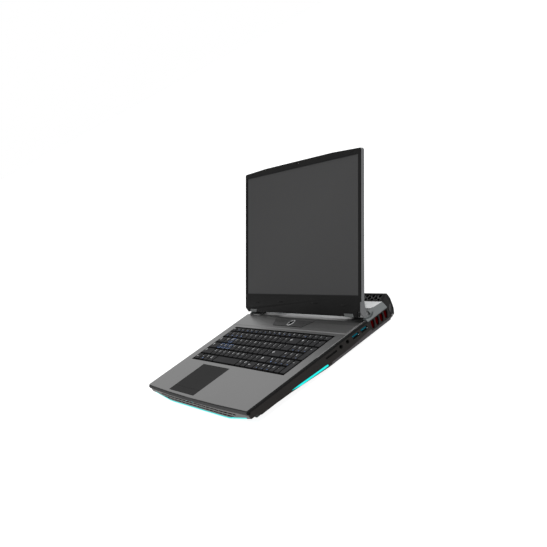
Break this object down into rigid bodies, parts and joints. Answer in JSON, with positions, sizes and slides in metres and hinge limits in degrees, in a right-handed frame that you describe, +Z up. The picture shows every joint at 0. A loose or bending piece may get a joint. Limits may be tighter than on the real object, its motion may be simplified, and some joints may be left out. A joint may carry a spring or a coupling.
{
  "type": "laptop computer",
  "caption": "Large gaming laptop with its lid open: thick tapered base, full keyboard with number pad, offset touchpad, rear heat vents and light bars.",
  "frame": {"origin": "on the resting plane, under the middle of the open machine's bounding box", "axes": "+X to the user's right, +Y to the rear, +Z up"},
  "size_m": [0.4, 0.3774, 0.2552],
  "materials": {
    "dark_shell": "matte moulded",
    "band": "satin",
    "deck_metal": "satin anodised",
    "panel_metal": "satin",
    "silver_plate": "satin silver",
    "black_mesh": "matte",
    "slate_metal": "satin",
    "red_light": "dim glow",
    "cyan_light": "lit diffuser",
    "feet": "matte",
    "screw_steel": "brushed",
    "circuit_board": "solder mask",
    "copper": "copper",
    "fins": "plain",
    "inner_plastic": "matte",
    "usb_blue": "moulded",
    "lid_metal": "satin anodised",
    "bezel_black": "fine texture",
    "screen": "anti-glare",
    "lens": "gloss",
    "pad": "satin",
    "ring_silver": "polished",
    "key_black": "fine texture",
    "key_accent": "fine texture"
  },
  "bodies": {
    "base": {"bottom_cover": "dark_shell", "deck_band": "band", "top_case": "deck_metal", "side_trim_left": "dark_shell", "side_trim_right": "dark_shell", "power_panel": "panel_metal", "rear_spine_plate": "silver_plate", "rear_housing": "dark_shell", "top_vent_mesh": "black_mesh", "rear_exhaust_grilles": "black_mesh", "side_rail_left": "slate_metal", "side_rail_right": "slate_metal", "side_vent_left": "dark_shell", "side_vent_right": "dark_shell", "vent_glow_strips": "red_light", "front_grille": "black_mesh", "front_light_bar": "cyan_light", "side_light_bars": "cyan_light", "status_leds": "cyan_light", "rubber_feet": "feet", "bottom_screws": "screw_steel", "motherboard": "circuit_board", "heat_spreader": "copper", "heat_pipes": "copper", "fin_stacks": "fins", "fan_housing_left": "inner_plastic", "fan_housing_right": "inner_plastic", "battery": "inner_plastic", "memory_modules": "circuit_board", "storage_drive": "fins", "speakers": "inner_plastic", "keyboard_tray": "key_black", "usb_ports": "usb_blue", "audio_jacks": "inner_plastic", "card_reader": "inner_plastic", "rear_ports": "inner_plastic", "hinge_base_left": "slate_metal", "hinge_base_right": "slate_metal", "hinge_pins": "screw_steel"},
    "lid": {"lid_back_cover": "lid_metal", "lid_bezel": "bezel_black", "display_panel": "screen", "webcam": "lens", "hinge_lid_left": "slate_metal", "hinge_lid_right": "slate_metal", "lid_end_caps": "slate_metal"},
    "fan_left": {"fan_impeller_left": "inner_plastic"},
    "fan_right": {"fan_impeller_right": "inner_plastic"},
    "touchpad": {"touchpad": "pad"},
    "power_button": {"power_button": "ring_silver"},
    "keys_function_row": {"keys_function_row": "key_black"},
    "keys_number_row": {"keys_number_row": "key_black"},
    "keys_tab_row": {"keys_tab_row": "key_black"},
    "keys_caps_row": {"keys_caps_row": "key_black"},
    "keys_shift_row": {"keys_shift_row": "key_black"},
    "keys_modifier_row": {"keys_modifier_row": "key_black"},
    "spacebar": {"spacebar": "key_black"},
    "arrow_keys": {"arrow_keys": "key_black"},
    "numpad_keys": {"numpad_keys": "key_black"},
    "wasd_keys": {"wasd_keys": "key_accent"}
  },
  "joints": [
    {"name": "lid_hinge", "type": "hinge", "parent": "base", "child": "lid", "pos_m": [0, 0.061, 0.0412], "axis": [1, 0, 0], "range_deg": [-12, 122]},
    {"name": "fan_left_spin", "type": "hinge", "parent": "base", "child": "fan_left", "pos_m": [-0.132, 0.022, 0.009], "axis": [0, 0, 1], "continuous": true},
    {"name": "fan_right_spin", "type": "hinge", "parent": "base", "child": "fan_right", "pos_m": [0.132, 0.022, 0.009], "axis": [0, 0, 1], "continuous": true},
    {"name": "touchpad_press", "type": "hinge", "parent": "base", "child": "touchpad", "pos_m": [-0.0515, -0.1065, 0.028], "axis": [1, 0, 0], "range_deg": [0, 0.4], "stiffness_Nm_per_rad": 8, "springref_deg": -0.34},
    {"name": "power_button_press", "type": "slide", "parent": "base", "child": "power_button", "axis": [0, 0, -1], "range_m": [0, 0.0006], "stiffness_N_per_m": 1500, "springref_m": -0.0004},
    {"name": "keys_function_row_press", "type": "slide", "parent": "base", "child": "keys_function_row", "axis": [0, 0, -1], "range_m": [0, 0.0018], "stiffness_N_per_m": 1200, "springref_m": -0.0008},
    {"name": "keys_number_row_press", "type": "slide", "parent": "base", "child": "keys_number_row", "axis": [0, 0, -1], "range_m": [0, 0.0018], "stiffness_N_per_m": 1200, "springref_m": -0.0008},
    {"name": "keys_tab_row_press", "type": "slide", "parent": "base", "child": "keys_tab_row", "axis": [0, 0, -1], "range_m": [0, 0.0018], "stiffness_N_per_m": 1200, "springref_m": -0.0008},
    {"name": "keys_caps_row_press", "type": "slide", "parent": "base", "child": "keys_caps_row", "axis": [0, 0, -1], "range_m": [0, 0.0018], "stiffness_N_per_m": 1200, "springref_m": -0.0008},
    {"name": "keys_shift_row_press", "type": "slide", "parent": "base", "child": "keys_shift_row", "axis": [0, 0, -1], "range_m": [0, 0.0018], "stiffness_N_per_m": 1200, "springref_m": -0.0008},
    {"name": "keys_modifier_row_press", "type": "slide", "parent": "base", "child": "keys_modifier_row", "axis": [0, 0, -1], "range_m": [0, 0.0018], "stiffness_N_per_m": 1200, "springref_m": -0.0008},
    {"name": "spacebar_press", "type": "slide", "parent": "base", "child": "spacebar", "axis": [0, 0, -1], "range_m": [0, 0.0018], "stiffness_N_per_m": 1200, "springref_m": -0.0008},
    {"name": "arrow_keys_press", "type": "slide", "parent": "base", "child": "arrow_keys", "axis": [0, 0, -1], "range_m": [0, 0.0018], "stiffness_N_per_m": 1200, "springref_m": -0.0008},
    {"name": "numpad_keys_press", "type": "slide", "parent": "base", "child": "numpad_keys", "axis": [0, 0, -1], "range_m": [0, 0.0018], "stiffness_N_per_m": 1200, "springref_m": -0.0008},
    {"name": "wasd_keys_press", "type": "slide", "parent": "base", "child": "wasd_keys", "axis": [0, 0, -1], "range_m": [0, 0.0018], "stiffness_N_per_m": 1200, "springref_m": -0.0008}
  ]
}
